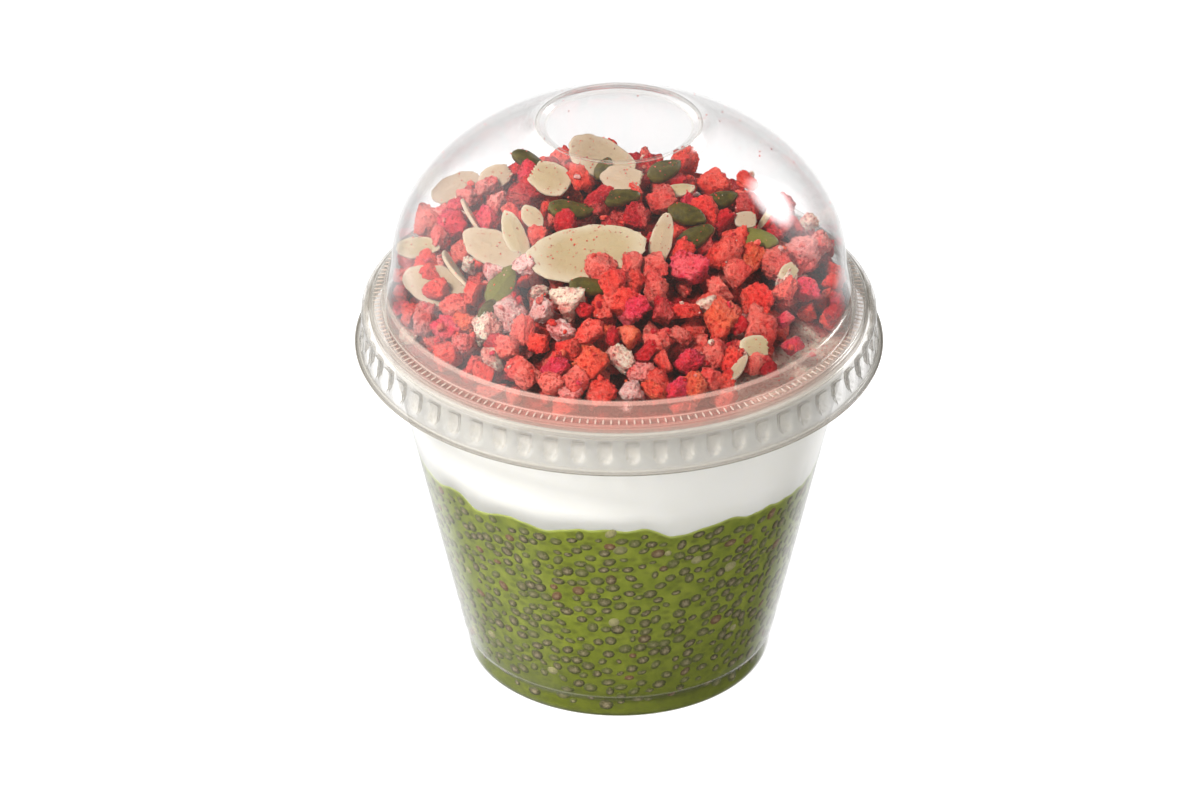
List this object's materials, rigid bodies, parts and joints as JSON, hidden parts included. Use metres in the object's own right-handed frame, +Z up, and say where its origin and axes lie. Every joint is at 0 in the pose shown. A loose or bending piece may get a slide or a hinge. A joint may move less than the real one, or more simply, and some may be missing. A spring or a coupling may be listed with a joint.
{
  "type": "chia pudding",
  "caption": "Layered chia pudding in a clear tapered cup: green seeded pudding, white yogurt and a fruit and nut topping under a clear dome lid.",
  "frame": {"origin": "middle of the cup's foot ring, on the surface that the cup stands on", "axes": "+Z up along the cup's axis, -Y towards the side that faces the picture's camera, +X to that camera's right"},
  "size_m": [0.103, 0.103, 0.1168],
  "materials": {
    "cup_plastic": "clear, glossy, thin-walled",
    "lid_plastic": "clear, glossy, thin-walled, with a ribbed skirt",
    "pudding": "moist green gel full of swollen grey-brown seeds",
    "yogurt": "smooth and creamy, warm white",
    "topping": "dry crumbly red fruit lumps, cream almond slices and olive green pumpkin seeds"
  },
  "bodies": {
    "root": {"cup": "cup_plastic", "dome_lid": "lid_plastic", "chia_pudding": "pudding", "yogurt": "yogurt", "topping": "topping"}
  },
  "joints": []
}
